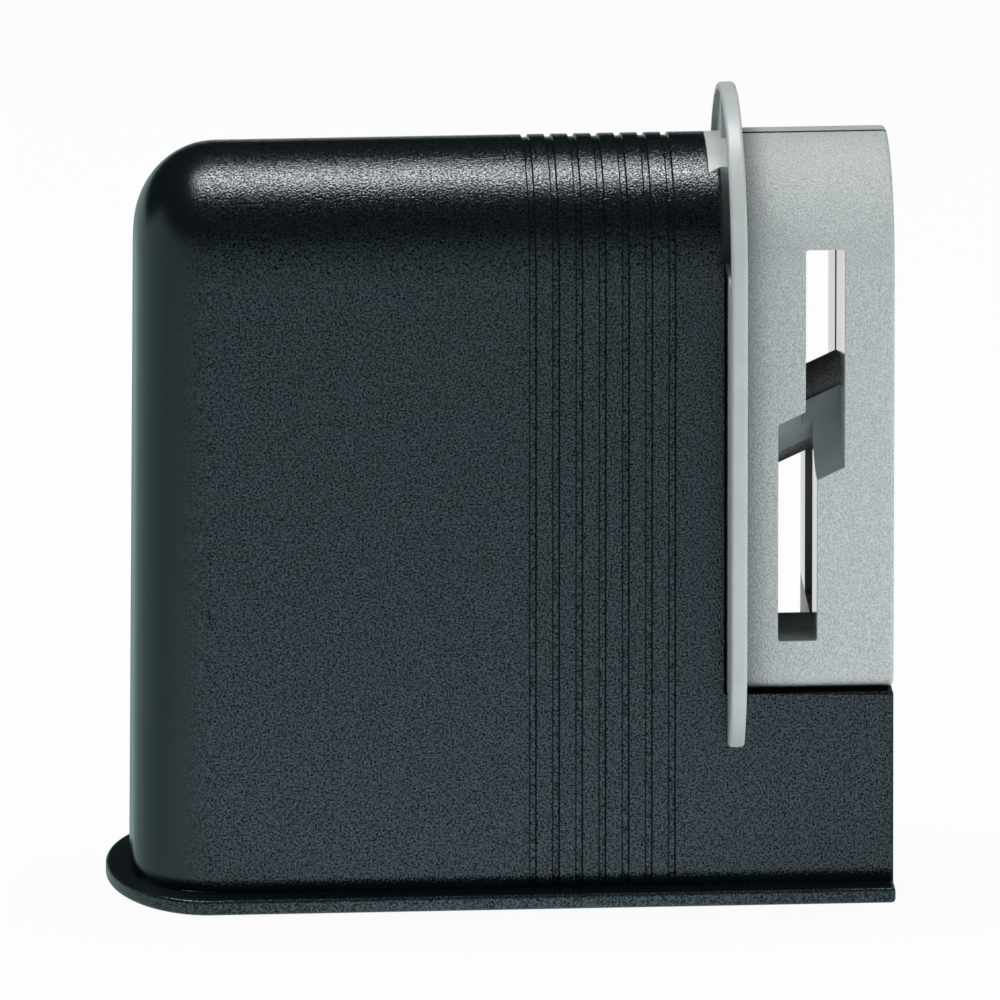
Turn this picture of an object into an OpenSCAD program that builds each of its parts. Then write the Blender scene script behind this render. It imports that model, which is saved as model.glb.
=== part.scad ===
// Table-top scissors sharpener: a hollow moulded body on a base plate, and a lift-out guide head
// with a stepped blade slot and a slanted ceramic rod. Millimetres, +Z up, front face towards -Y.

/* [Body] */
// Length of the body, from its rounded end to its flat end
body_length = 80.3; // [70:0.1:95]
// Thickness of the body from front to back, which is also twice its crown radius
body_depth = 24.4; // [20:0.1:32]
// Height of the crown above the table
body_height = 80.85; // [76:0.05:100]
// Wall thickness of the body
body_wall = 2; // [1.2:0.1:3]
// Radius of the rounded end, in plan and over the crown
end_radius = 9.3; // [4:0.1:9.9]

/* [Grooves] */
// Number of upright grooves round the body
groove_count = 7; // [1:1:7]
// Distance from the rounded end to the first groove
groove_start = 42; // [30:0.1:44]
// Distance from groove to groove
groove_pitch = 2.46; // [1.5:0.01:2.6]
// Width of a groove
groove_width = 0.75; // [0.4:0.05:1.2]
// Depth of a groove
groove_depth = 0.3; // [0.1:0.05:0.6]

/* [Base] */
// Reach of the base plate past the body, in front, behind and at the rounded end
base_overhang = 2.65; // [1:0.05:5]
// Reach of the base plate past the body's flat end
base_end_lip = 0.1; // [0.05:0.05:1]
// Length of the base plate's oval end
base_oval = 10.5; // [6:0.1:14]
// Thickness of the base plate at its rim
base_thickness = 1.7; // [1.4:0.1:3]
// Height of the rim that stands inside the body
plug_height = 1.8; // [1.2:0.1:3]
// Thickness of that rim
plug_wall = 1.5; // [1:0.1:2.5]
// Gap between that rim and the body
plug_clearance = 0.15; // [0.05:0.05:0.3]

/* [Pads] */
// Diameter of a non-slip pad
pad_diameter = 9; // [6:0.5:10]
// Thickness of a pad, which lies level with the underside
pad_thickness = 0.8; // [0.4:0.1:1]
// Distance of the pads' middles from the ends of the base
pad_from_end = 9.5; // [8:0.1:11]
// Distance of the pads' middles from the front and back faces of the body
pad_from_side = 4.2; // [3.8:0.1:6]
// Gap round a pad
pad_clearance = 0.05; // [0.02:0.01:0.15]

/* [Base screws] */
// Shank diameter of a base screw
base_screw_diameter = 2.5; // [2:0.1:3]
// Length of a base screw under its head
base_screw_length = 10; // [7:0.5:13]
// Head diameter of a base screw
base_head_diameter = 4.6; // [4:0.1:5]
// Head height of a base screw
base_head_height = 1.5; // [1:0.1:1.6]
// Depth of a base screw's head below the underside
base_head_recess = 0.2; // [0.1:0.05:0.4]
// Distance of the screws from the rounded end of the body
base_screw_left = 15; // [13:0.5:17]
// Distance of the screws from the flat end of the body
base_screw_right = 18; // [15:0.5:19]
// Outside diameter of a screw boss in the body
boss_diameter = 6; // [5:0.1:7]
// Height of a screw boss in the body
boss_height = 13; // [11:0.5:14]

/* [Guide head] */
// Length of the bay in the body that takes the guide head
bay_length = 18.05; // [17.5:0.05:19]
// Height of the ledge that the guide head stands over
ledge_height = 22.7; // [20.5:0.1:23.5]
// Gap between the guide head and the ledge
seat_gap = 0.3; // [0.1:0.05:0.5]
// Gap between the hand guard and the end of the bay
guard_gap = 0.4; // [0.2:0.05:0.8]
// Thickness of the hand guard
guard_thickness = 1.75; // [1.4:0.05:2.5]
// Reach of the hand guard past the body, all round
guard_reach = 5.2; // [4:0.05:8]
// Reach of the guard's legs below the ledge
leg_drop = 5.6; // [3:0.1:8]
// Radius of the curve that narrows a leg towards its foot
leg_radius = 14; // [10:0.5:17]
// Thickness of a leg's foot
leg_tip = 0.5; // [0.3:0.05:1]
// Gap between a leg and the body
leg_clearance = 0.25; // [0.1:0.05:0.5]
// Width of the raised rim on the guard's face towards the body
guard_rim = 1.4; // [0.8:0.1:2]
// Depth of the hollow inside that rim
guard_hollow = 0.6; // [0.2:0.05:0.9]
// Thickness of the upright rib in the middle of that hollow
guard_rib = 1.6; // [1:0.1:3]
// Height by which the guide block's crown stands over the body's
block_raise = 0.3; // [0:0.05:0.6]
// Radius of the guide block's lower edges
block_edge = 1.7; // [0.4:0.1:2.5]
// Depth and width of the parting groove between the two halves
seam_size = 0.2; // [0.1:0.05:0.3]

/* [Tongue] */
// Depth of the tongue that slides in the body's end wall
tongue_depth = 1.3; // [1:0.1:2]
// Width of the tongue at its widest
tongue_width = 13.8; // [10:0.1:15]
// Undercut on each side of the tongue
tongue_undercut = 0.7; // [0.3:0.1:1]
// Height of the tongue's foot above the ledge
tongue_foot = 3; // [2:0.1:6]
// Gap all round the tongue
tongue_clearance = 0.12; // [0.06:0.02:0.25]

/* [Blade slot] */
// Width of each blade slot
slot_width = 4.1; // [4.06:0.02:4.3]
// Sideways step from the lower slot to the upper one
slot_step = 2.9; // [2.4:0.1:3.2]
// Height from the bottom of the lower slot to the top of the upper one
slot_height = 42.9; // [40:0.1:44]
// Distance from the slot's middle to the body's flat end
slot_from_end = 8.8; // [8.6:0.05:9]
// Height of the slot's middle above the ledge
slot_rise = 27.25; // [26.5:0.05:28]
// Upright distance between the two slanted teeth at the faces
tooth_gap = 8; // [7:0.1:8.6]
// Depth of the flat floor of the lower slot, from the front
floor_depth = 10.4; // [9.5:0.1:11.5]
// Depth of the hollow in the lower slot's side wall
window_depth = 2.5; // [1.5:0.1:2.8]
// Width of that hollow from front to back
window_width = 11; // [8:0.1:12]
// Height of the rod's middle over that hollow's roof
window_drop = 2.6; // [2.2:0.1:5]
// Depth of the open joint in the upper slot's side wall
joint_depth = 1.4; // [0.8:0.1:1.6]
// Width of the open joint in the upper slot's side wall
joint_width = 2.2; // [1:0.1:3]

/* [Sharpening rod] */
// Diameter of the rod
rod_diameter = 8.3; // [7.6:0.1:8.6]
// Length of the rod
rod_length = 12.2; // [11:0.1:12.6]
// Slant of the rod
rod_tilt = 25; // [22:0.5:28]
// Height of the rod's middle over the slot's middle
rod_rise = 0.65; // [0:0.05:0.8]
// Height of a lip on the rod, as an angle from the rod's middle
lip_angle = 28; // [20:1:34]
// Thickness of a lip at its tip
lip_thickness = 0.8; // [0.5:0.05:1.1]
// Gap round the rod in its seat
rod_clearance = 0.05; // [0.02:0.01:0.1]
// Gap at each end of the rod
rod_end_gap = 0.1; // [0.05:0.05:0.3]

/* [Head screws] */
// Shank diameter of a head screw
head_screw_diameter = 2.2; // [1.8:0.1:2.4]
// Length of a head screw under its head
head_screw_length = 13; // [10:0.5:15]
// Head diameter of a head screw
screw_head_diameter = 4; // [3.4:0.1:4.2]
// Head height of a head screw
screw_head_height = 1.4; // [1:0.1:1.8]
// Depth of the pocket over a screw head
pocket_depth = 3.5; // [2.5:0.1:5]
// Distance of the screws and pins above and below the slot's middle
screw_spread = 14.3; // [13:0.1:15]
// Diameter of a locating pin
pin_diameter = 1.8; // [1.4:0.1:2]
// Length of a locating pin past the joint
pin_length = 2.5; // [1.5:0.1:4]

/* [Fits] */
// Gap round a screw shank in its through hole
shank_clearance = 0.2; // [0.1:0.05:0.3]
// Gap round a screw head
head_clearance = 0.2; // [0.1:0.05:0.3]
// Bite of a screw into its pilot hole, on the radius
thread_bite = 0.1; // [0.05:0.01:0.15]
// Gap round a locating pin
pin_clearance = 0.04; // [0.02:0.01:0.08]
// Depth by which a screw boss runs into the body's wall
boss_overlap = 0.3; // [0.2:0.05:0.5]
// Gap between a screw boss and the base
boss_gap = 0.1; // [0.05:0.05:0.3]
// Spare depth of a blind hole
hole_spare = 0.6; // [0.3:0.1:1]
// Width of the cross recess in a screw head
recess_width = 0.6; // [0.4:0.1:0.8]
// Depth of that recess
recess_depth = 0.8; // [0.5:0.1:0.9]

/* [Hidden] */
$fn = 96;
past = 1;
far = 200;

black = [0.09, 0.10, 0.11];
grey = [0.66, 0.69, 0.69];
rubber = [0.16, 0.16, 0.17];
steel = [0.72, 0.73, 0.75];
ceramic = [0.36, 0.31, 0.28];

// Body and base
base_length = body_length + base_overhang + base_end_lip;
base_left = -base_length / 2;
body_left = base_left + base_overhang;
body_right = body_left + body_length;
half_depth = body_depth / 2;
crown_z = body_height - half_depth;
base_half = half_depth + base_overhang;
plug_inset = body_wall + plug_clearance;
plug_top = base_thickness + plug_height;
base_head_top = base_head_recess + base_head_height;
boss_y = half_depth - body_wall - boss_diameter / 2 + boss_overlap;
base_screws_at = [
    for (x = [body_left + base_screw_left, body_right - base_screw_right], side = [-1, 1])
        [x, side * boss_y],
];
pads_at = [
    for (x = [-1, 1], y = [-1, 1])
        [x * (base_length / 2 - pad_from_end), y * (half_depth - pad_from_side)],
];

// Guide head
bay_x = body_right - bay_length;
guard_x = bay_x + guard_gap;
block_x = guard_x + guard_thickness;
guard_half = half_depth + guard_reach;
leg_foot = ledge_height - leg_drop;
leg_taper = guard_reach - leg_clearance - leg_tip;
leg_curve_z = leg_foot + sqrt(leg_taper * (2 * leg_radius - leg_taper));
block_foot = ledge_height + seat_gap;
block_crown_z = crown_z + block_raise;
tongue_foot_z = ledge_height + tongue_foot;
end_wall = tongue_depth + tongue_clearance + body_wall;

// Blade slot and rod
slot_x = body_right - slot_from_end;
slot_z = ledge_height + slot_rise;
upper_left = slot_x + slot_step / 2 - slot_width / 2;
lower_left = slot_x - slot_step / 2 - slot_width / 2;
slot_top = slot_z + slot_height / 2;
slot_bottom = slot_z - slot_height / 2;
rod_z = slot_z + rod_rise;
rod_r = rod_diameter / 2;
lip_reach = rod_r * cos(lip_angle) + lip_thickness;
lip_z = rod_r * sin(lip_angle);
lip_lean = 7.5;

// Head screws and pins, as places on the front view
screws_at = [
    [(block_x + upper_left) / 2, slot_z + screw_spread],
    [(lower_left + slot_width + window_depth + body_right) / 2, slot_z - screw_spread],
];
pins_at = [
    [(block_x + lower_left) / 2, slot_z - screw_spread],
    [body_right - pin_diameter, slot_z + screw_spread],
];
screw_seat_y = half_depth - pocket_depth;

// Upright section of the body, drawn as width by height
module section(inset, crown, foot) {
    r = half_depth - inset;
    translate([0, crown]) circle(r);
    translate([-r, foot]) square([2 * r, crown - foot]);
}

// Extrudes a front-to-back section along the body
module along_x(from, length) {
    translate([from, 0, 0]) rotate([90, 0, 90]) linear_extrude(length) children();
}

// Plan of the body, with its rounded end
module plan(inset) {
    r = end_radius - inset;
    left = body_left + inset;
    side = half_depth - inset;
    translate([left + r, -side]) square([body_length - 2 * inset - r, 2 * side]);
    translate([left, r - side]) square([r + past, 2 * (side - r)]);
    for (y = [r - side, side - r]) translate([left + r, y]) circle(r);
}

// Outer form of the body, or the form inside its wall
module body_form(inset, foot) {
    translate([0, 0, foot]) linear_extrude(crown_z - foot) plan(inset);
    translate([0, 0, crown_z]) rotate([0, 90, 0]) rotate_extrude() intersection() {
        mirror([1, -1, 0]) plan(inset);
        translate([0, -far]) square([far, 2 * far]);
    }
}

module grooves() {
    for (i = [0 : groove_count - 1])
        along_x(body_left + groove_start + i * groove_pitch - groove_width / 2, groove_width)
            difference() {
                translate([-far / 2, 0]) square(far);
                section(groove_depth, crown_z, -past);
            }
}

module tongue_plan(gap) {
    wide = tongue_width / 2 + gap;
    narrow = wide - tongue_undercut;
    back = bay_x - tongue_depth - gap;
    root = guard_x + guard_hollow + guard_thickness / 4;
    polygon([[back, -wide], [bay_x, -narrow], [root, -narrow], [root, narrow], [bay_x, narrow], [back, wide]]);
}

module body_shell() {
    pilot_r = base_screw_diameter / 2 - thread_bite;
    pilot_depth = base_head_top + base_screw_length - plug_top + hole_spare;
    color(black) difference() {
        union() {
            difference() {
                body_form(0, base_thickness);
                difference() {
                    body_form(body_wall, -past);
                    translate([bay_x - end_wall, -far / 2, ledge_height - body_wall]) cube(far);
                }
            }
            for (p = base_screws_at)
                translate([p[0], p[1], plug_top + boss_gap])
                    cylinder(d = boss_diameter, h = boss_height);
        }
        translate([bay_x, -far / 2, ledge_height]) cube(far);
        translate([0, 0, tongue_foot_z - tongue_clearance]) linear_extrude(far)
            tongue_plan(tongue_clearance);
        grooves();
        for (p = base_screws_at)
            translate([p[0], p[1], plug_top]) cylinder(r = pilot_r, h = pilot_depth);
    }
}

module base_outline() {
    middle = base_left + base_oval;
    polygon(concat(
        [for (a = [90 : 5 : 270]) [middle + base_oval * cos(a), base_half * sin(a)]],
        [[-base_left, -base_half], [-base_left, base_half]]
    ));
}

module base_plate() {
    color(black) difference() {
        union() {
            linear_extrude(base_thickness) base_outline();
            linear_extrude(plug_top) difference() {
                plan(plug_inset);
                plan(plug_inset + plug_wall);
            }
            for (p = base_screws_at)
                translate([p[0], p[1], 0]) intersection() {
                    cylinder(d = base_head_diameter + 2 * plug_wall, h = plug_top);
                    translate([-p[0], -p[1], 0]) linear_extrude(plug_top) plan(plug_inset);
                }
        }
        for (p = base_screws_at) translate([p[0], p[1], -past]) {
            cylinder(d = base_head_diameter + 2 * head_clearance, h = base_head_top + past);
            cylinder(d = base_screw_diameter + 2 * shank_clearance, h = plug_top + 2 * past);
        }
        for (p = pads_at) translate([p[0], p[1], -past])
            cylinder(d = pad_diameter + 2 * pad_clearance, h = pad_thickness + past);
    }
}

module base_pads() {
    color(rubber) for (p = pads_at)
        translate([p[0], p[1], 0]) cylinder(d = pad_diameter, h = pad_thickness);
}

// Pan-head screw with a cross recess, head down at the origin and shank upwards
module screw(shank_d, shank_h, head_d, head_h) {
    difference() {
        union() {
            cylinder(d = head_d, h = head_h);
            cylinder(d = shank_d, h = head_h + shank_h);
        }
        for (turn = [0, 90]) rotate(turn)
            translate([-head_d / 3, -recess_width / 2, -past])
                cube([head_d * 2 / 3, recess_width, recess_depth + past]);
    }
}

module base_screws() {
    color(steel) for (p = base_screws_at)
        translate([p[0], p[1], base_head_recess])
            screw(base_screw_diameter, base_screw_length, base_head_diameter, base_head_height);
}

// Hand guard seen along the body: an arch with two legs that stand astride the body
module guard_outline(inset) {
    r = guard_half - inset;
    foot = leg_foot + inset;
    curve = leg_radius - inset;
    difference() {
        union() {
            translate([0, crown_z]) circle(r);
            translate([-r, foot]) square([2 * r, crown_z - foot]);
        }
        for (side = [0, 1]) mirror([side, 0]) difference() {
            translate([r - curve, foot - past]) square([curve + past, leg_curve_z - foot + past]);
            translate([r - curve, leg_curve_z]) circle(curve);
        }
        passage = half_depth + leg_clearance + inset;
        translate([-passage, -past]) square([2 * passage, block_foot + inset + past]);
    }
}

module hand_guard() {
    difference() {
        along_x(guard_x, guard_thickness + past) guard_outline(0);
        along_x(guard_x - past, guard_hollow + past) difference() {
            guard_outline(guard_rim);
            translate([-guard_rib / 2, 0]) square([guard_rib, far]);
        }
        along_x(block_x, far) difference() {
            translate([-far / 2, -past]) square(far);
            block_section();
        }
    }
    intersection() {
        translate([0, 0, tongue_foot_z]) linear_extrude(far) tongue_plan(0);
        along_x(-far / 2, far) section(0, crown_z, 0);
    }
}

module block_section() {
    section(0, block_crown_z, block_foot + block_edge);
    translate([block_edge - half_depth, block_foot]) square([2 * (half_depth - block_edge), 2 * block_edge]);
    for (y = [block_edge - half_depth, half_depth - block_edge])
        translate([y, block_foot + block_edge]) circle(block_edge);
}

// Floor of a blade slot at the rod: flat at the faces, then swept up to the lips that hold the rod
module sweep_profile(tooth_drop) {
    sweep_r = (tooth_drop + lip_z) / (1 - sin(lip_lean));
    sweep_y = lip_reach + sweep_r * cos(lip_lean);
    difference() {
        translate([-far / 2, -tooth_drop]) square(far);
        difference() {
            translate([-sweep_y, -tooth_drop - past]) square([2 * sweep_y, tooth_drop + past + lip_z]);
            for (y = [-sweep_y, sweep_y]) translate([y, sweep_r - tooth_drop]) circle(sweep_r);
        }
    }
}

module at_rod() {
    translate([slot_x, 0, rod_z]) rotate([0, -rod_tilt, 0]) children();
}

module upper_slot() {
    intersection() {
        translate([upper_left, -far / 2, slot_top - far]) cube([slot_width, far, far]);
        at_rod() along_x(-far / 2, far) sweep_profile((tooth_gap / 2 + rod_rise) * cos(rod_tilt));
    }
}

module lower_slot() {
    intersection() {
        translate([lower_left, -far / 2, slot_bottom]) cube([slot_width, far, far]);
        at_rod() rotate([0, 180, 0]) along_x(-far / 2, far)
            sweep_profile((tooth_gap / 2 - rod_rise) * cos(rod_tilt));
    }
    translate([lower_left, floor_depth - half_depth, -past]) cube([slot_width, far, slot_bottom + 2 * past]);
}

module side_hollows() {
    window_top = rod_z - window_drop;
    translate([lower_left + slot_width - past, -window_width / 2, slot_bottom])
        cube([window_depth + past, window_width, window_top - slot_bottom]);
    translate([upper_left + slot_width - past, 0, rod_z])
        cube([joint_depth + past, joint_width, slot_top - rod_z]);
}

module rod_seat() {
    at_rod() rotate([0, 90, 0])
        cylinder(r = rod_r + rod_clearance, h = rod_length + 2 * rod_end_gap, center = true);
}

module seam_groove() {
    tops = [
        [bay_x - tongue_depth - past, body_height, tongue_depth + past + guard_gap],
        [guard_x - past, crown_z + guard_half, far],
        [block_x, block_crown_z + half_depth, far],
        [body_right - seam_size, 0, far],
    ];
    for (t = tops) translate([t[0], -seam_size / 2, t[1] - seam_size]) cube([t[2], seam_size, far]);
}

module whole_head() {
    difference() {
        union() {
            hand_guard();
            along_x(block_x, body_right - block_x) block_section();
        }
        upper_slot();
        lower_slot();
        side_hollows();
        rod_seat();
        seam_groove();
    }
}

// Places children on the front view, with their +Z towards the back
module front_at(p, y) {
    translate([p[0], y, p[1]]) rotate([-90, 0, 0]) children();
}

module guide_front_half() {
    reach = head_screw_length - screw_seat_y + hole_spare;
    color(grey) {
        difference() {
            whole_head();
            translate([-far / 2, 0, -far / 2]) cube(far);
            for (p = screws_at) front_at(p, -reach)
                cylinder(r = head_screw_diameter / 2 - thread_bite, h = reach + past);
        }
        for (p = pins_at) front_at(p, -past) cylinder(d = pin_diameter, h = pin_length + past);
    }
}

module guide_rear_half() {
    color(grey) difference() {
        whole_head();
        translate([-far / 2, -far, -far / 2]) cube(far);
        for (p = screws_at) {
            front_at(p, -past) cylinder(d = head_screw_diameter + 2 * shank_clearance, h = half_depth);
            front_at(p, screw_seat_y) cylinder(d = screw_head_diameter + 2 * head_clearance, h = far);
        }
        for (p = pins_at) front_at(p, -past)
            cylinder(d = pin_diameter + 2 * pin_clearance, h = pin_length + hole_spare + past);
    }
}

module guide_screws() {
    color(steel) for (p = screws_at)
        translate([p[0], screw_seat_y + screw_head_height, p[1]]) rotate([90, 0, 0])
            screw(head_screw_diameter, head_screw_length, screw_head_diameter, screw_head_height);
}

module sharpening_rod() {
    color(ceramic) at_rod() rotate([0, 90, 0]) cylinder(d = rod_diameter, h = rod_length, center = true);
}

body_shell();
base_plate();
base_pads();
base_screws();
guide_front_half();
guide_rear_half();
guide_screws();
sharpening_rod();
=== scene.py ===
from math import asin, atan2, cos, degrees, hypot, pi, radians, sin, sqrt, tan

import bmesh
import bpy
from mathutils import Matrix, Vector


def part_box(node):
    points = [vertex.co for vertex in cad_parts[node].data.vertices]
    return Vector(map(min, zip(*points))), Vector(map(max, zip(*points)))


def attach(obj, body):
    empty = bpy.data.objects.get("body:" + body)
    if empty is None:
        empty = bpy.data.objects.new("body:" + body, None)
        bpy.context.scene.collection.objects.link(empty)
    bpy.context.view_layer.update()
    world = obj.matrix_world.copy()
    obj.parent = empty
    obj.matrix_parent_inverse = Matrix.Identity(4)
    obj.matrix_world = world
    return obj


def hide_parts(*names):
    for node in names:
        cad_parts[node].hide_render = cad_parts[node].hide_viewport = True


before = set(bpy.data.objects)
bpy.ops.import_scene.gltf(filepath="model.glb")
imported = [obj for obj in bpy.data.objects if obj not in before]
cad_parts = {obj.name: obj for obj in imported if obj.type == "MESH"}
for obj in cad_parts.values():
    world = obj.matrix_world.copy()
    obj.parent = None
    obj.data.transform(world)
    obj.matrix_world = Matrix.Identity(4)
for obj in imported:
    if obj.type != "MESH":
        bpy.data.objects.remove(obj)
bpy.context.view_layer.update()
print("stage: frame loaded")

# Pieces are modelled in millimetres and brought to metres when they are done
perMetre = 1000
shellLow, shellHigh = (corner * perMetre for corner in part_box("body_shell"))
plateLow, plateHigh = (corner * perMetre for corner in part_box("base_plate"))
headLow, headHigh = (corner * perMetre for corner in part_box("guide_front_half"))
halfDepth = shellHigh.y
crownZ = shellHigh.z - halfDepth
bodyLeft, bodyRight = shellLow.x, shellHigh.x
baseTop = shellLow.z
# Tools reach past what they cut: a little by over, or past the whole part by far
far = 60
over = 1
skinSlack = 0.01
mergeWithin = 0.0005
mergeLast = 0.001
steep = 60
edgeSegments = 4
roundSides = 48
evenWeight = 80


def letGo():
    if bpy.context.object and bpy.context.object.mode != "OBJECT":
        bpy.ops.object.mode_set(mode="OBJECT")
    bpy.ops.object.select_all(action="DESELECT")


def hold(piece):
    letGo()
    piece.select_set(True)
    bpy.context.view_layer.objects.active = piece


def edit(piece):
    hold(piece)
    bpy.ops.object.mode_set(mode="EDIT")


# Selects vertices, edges or faces by a test on each, in edit mode
def pick(kind, test):
    bpy.ops.mesh.select_mode(type=kind)
    bpy.ops.mesh.select_all(action="DESELECT")
    mesh = bmesh.from_edit_mesh(bpy.context.object.data)
    mesh.normal_update()
    for item in {"VERT": mesh.verts, "EDGE": mesh.edges, "FACE": mesh.faces}[kind]:
        if test(item):
            item.select_set(True)
    mesh.select_flush_mode()
    bmesh.update_edit_mesh(bpy.context.object.data)


# An edge whose two ends pass the test
def endsPass(test):
    return lambda edge: all(test(end.co) for end in edge.verts)


def openEdge(edge):
    return len(edge.link_faces) == 1


def near(value, wanted, slack=0.004):
    return abs(value - wanted) < slack


# Draws a line by pulling a single vertex from point to point
def drawLine(name, points):
    letGo()
    bpy.ops.mesh.primitive_plane_add(size=1, location=points[0])
    piece = bpy.context.object
    piece.name = name
    bpy.ops.object.transform_apply(location=True, rotation=False, scale=False)
    bpy.ops.object.mode_set(mode="EDIT")
    bpy.ops.mesh.select_mode(type="VERT")
    bpy.ops.mesh.select_all(action="SELECT")
    bpy.ops.mesh.merge(type="CENTER")
    for start, end in zip(points, points[1:]):
        step = Vector(end) - Vector(start)
        bpy.ops.mesh.extrude_vertices_move(TRANSFORM_OT_translate={"value": step})
    return piece


# Draws a closed outline, fills it and pulls it out to a solid
def drawSolid(name, points, pullBy):
    piece = drawLine(name, list(points) + [points[0]])
    bpy.ops.mesh.select_all(action="SELECT")
    bpy.ops.mesh.remove_doubles(threshold=mergeWithin)
    bpy.ops.mesh.select_all(action="SELECT")
    bpy.ops.mesh.edge_face_add()
    bpy.ops.mesh.extrude_region_move(TRANSFORM_OT_translate={"value": pullBy})
    tidyNormals()
    return piece


def tidyNormals():
    bpy.ops.mesh.select_all(action="SELECT")
    bpy.ops.mesh.normals_make_consistent(inside=False)


# Turns a drawn line round an axis into a closed turned part
def turnLine(name, points, centre, axis, steps):
    piece = drawLine(name, points)
    bpy.ops.mesh.select_all(action="SELECT")
    bpy.ops.mesh.spin(steps=steps, angle=2 * pi, center=centre, axis=axis)
    bpy.ops.mesh.select_all(action="SELECT")
    bpy.ops.mesh.remove_doubles(threshold=mergeWithin)
    tidyNormals()
    return piece


def boxTool(low, high):
    letGo()
    low, high = Vector(low), Vector(high)
    bpy.ops.mesh.primitive_cube_add(size=1, location=(low + high) / 2, scale=high - low)
    bpy.ops.object.transform_apply(location=True, rotation=False, scale=True)
    return bpy.context.object


# Round tools that stand on the given places, joined to one
def roundTools(places, radius, low, high, lying=False):
    letGo()
    made = []
    for place in places:
        middle = (place[0], (low + high) / 2, place[1]) if lying else (*place, (low + high) / 2)
        bpy.ops.mesh.primitive_cylinder_add(
            vertices=roundSides, radius=radius, depth=high - low, location=middle,
            rotation=(pi / 2 if lying else 0, 0, 0))
        bpy.ops.object.transform_apply(location=True, rotation=True, scale=False)
        made.append(bpy.context.object)
    letGo()
    for item in made:
        item.select_set(True)
    bpy.context.view_layer.objects.active = made[0]
    bpy.ops.object.join()
    return made[0]


def combine(piece, tool, how="DIFFERENCE"):
    hold(piece)
    change = piece.modifiers.new("combine", "BOOLEAN")
    change.operation = how
    change.solver = "EXACT"
    change.object = tool
    bpy.ops.object.modifier_apply(modifier=change.name)
    bpy.data.objects.remove(tool)


def copyOf(piece, name):
    hold(piece)
    bpy.ops.object.duplicate()
    bpy.context.object.name = name
    return bpy.context.object


def roundEdges(test, width, segments=2):
    pick("EDGE", test)
    bpy.ops.mesh.bevel(
        offset=width, offset_type="OFFSET", segments=segments, profile=0.5,
        affect="EDGES", clamp_overlap=False)


def isSharp(edge, least=35):
    return len(edge.link_faces) == 2 and edge.calc_face_angle(0) > radians(least)


# Merges points that lie together, brings a piece to metres, shades it, and fixes it to its body
def finishPiece(piece, body, nodes, finishes, smoothAngle=32):
    edit(piece)
    bpy.ops.mesh.select_all(action="SELECT")
    bpy.ops.mesh.remove_doubles(threshold=mergeLast)
    bpy.ops.mesh.dissolve_degenerate(threshold=mergeLast)
    hold(piece)
    piece.scale = (1 / perMetre,) * 3
    bpy.ops.object.transform_apply(location=True, rotation=True, scale=True)
    bpy.ops.object.shade_smooth_by_angle(angle=radians(smoothAngle))
    weights = piece.modifiers.new("even", "WEIGHTED_NORMAL")
    weights.keep_sharp = True
    weights.weight = evenWeight
    bpy.ops.object.modifier_apply(modifier=weights.name)
    for finish in finishes:
        piece.data.materials.append(finish)
    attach(piece, body)
    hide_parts(*nodes)
    letGo()
    print("stage:", piece.name, len(piece.data.polygons), "faces")


# Points along an arc, from one angle to another
def turnedArc(centre, radius, start, end, steps):
    return [
        (centre[0] + radius * cos(radians(start + (end - start) * i / steps)),
         centre[1] + radius * sin(radians(start + (end - start) * i / steps)))
        for i in range(steps + 1)]


# Materials
def newMaterial(name):
    material = bpy.data.materials.new(name)
    material.use_nodes = True
    nodes, links = material.node_tree.nodes, material.node_tree.links
    shader = nodes["Principled BSDF"]
    place = nodes.new("ShaderNodeTexCoord")
    return material, nodes, links, shader, place.outputs["Object"]


def noise(nodes, links, place, scale, detail, roughness):
    node = nodes.new("ShaderNodeTexNoise")
    node.inputs["Scale"].default_value = scale
    node.inputs["Detail"].default_value = detail
    node.inputs["Roughness"].default_value = roughness
    links.new(place, node.inputs["Vector"])
    return node.outputs["Fac"]


# Colours that follow a value; spread does the same with numbers
def ramp(nodes, links, value, low, high, lowColour, highColour):
    node = nodes.new("ShaderNodeValToRGB")
    node.color_ramp.elements[0].position = low
    node.color_ramp.elements[1].position = high
    node.color_ramp.elements[0].color = (*lowColour, 1)
    node.color_ramp.elements[1].color = (*highColour, 1)
    links.new(value, node.inputs["Fac"])
    return node.outputs["Color"]


def spread(nodes, links, value, fromLow, fromHigh, toLow, toHigh):
    node = nodes.new("ShaderNodeMapRange")
    for key, number in zip(
            ("From Min", "From Max", "To Min", "To Max"), (fromLow, fromHigh, toLow, toHigh)):
        node.inputs[key].default_value = number
    links.new(value, node.inputs["Value"])
    return node.outputs["Result"]


def bump(nodes, links, shader, height, strength, distance):
    node = nodes.new("ShaderNodeBump")
    node.inputs["Distance"].default_value = distance
    node.inputs["Strength"].default_value = strength
    links.new(height, node.inputs["Height"])
    links.new(node.outputs["Normal"], shader.inputs["Normal"])


grainRange, grainMiddle = (0.3, 0.7), 0.5


def setRoughness(nodes, links, shader, grain, f):
    smooth, rough = (f["roughness"] + f[key] for key in ("smoother", "rougher"))
    links.new(spread(nodes, links, grain, *grainRange, smooth, rough), shader.inputs["Roughness"])


blackFinish = {
    "dark": (0.0010, 0.0024, 0.0030), "light": (0.0075, 0.0110, 0.0125), "roughness": 0.20,
    "shine": (0.90, 0.98, 1.0), "dullShare": 0.04, "shineLevel": 1.0,
    "grainScale": 4600, "grainDepth": 0.00006, "grainStrength": 0.9,
    "detail": 1.2, "detailRough": 0.6, "shineRange": (0.33, 0.66), "smoother": -0.03, "rougher": 0.05,
    "smoothTo": -0.0345, "grainFrom": -0.0305, "smoothShare": 0.1,
    # The foot values paint shade: the body turns darker and duller towards the plate
    "footFrom": 0.0023, "footTo": 0.0032, "footPaintedShade": 0.15, "plateTone": 2.6,
}


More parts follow.
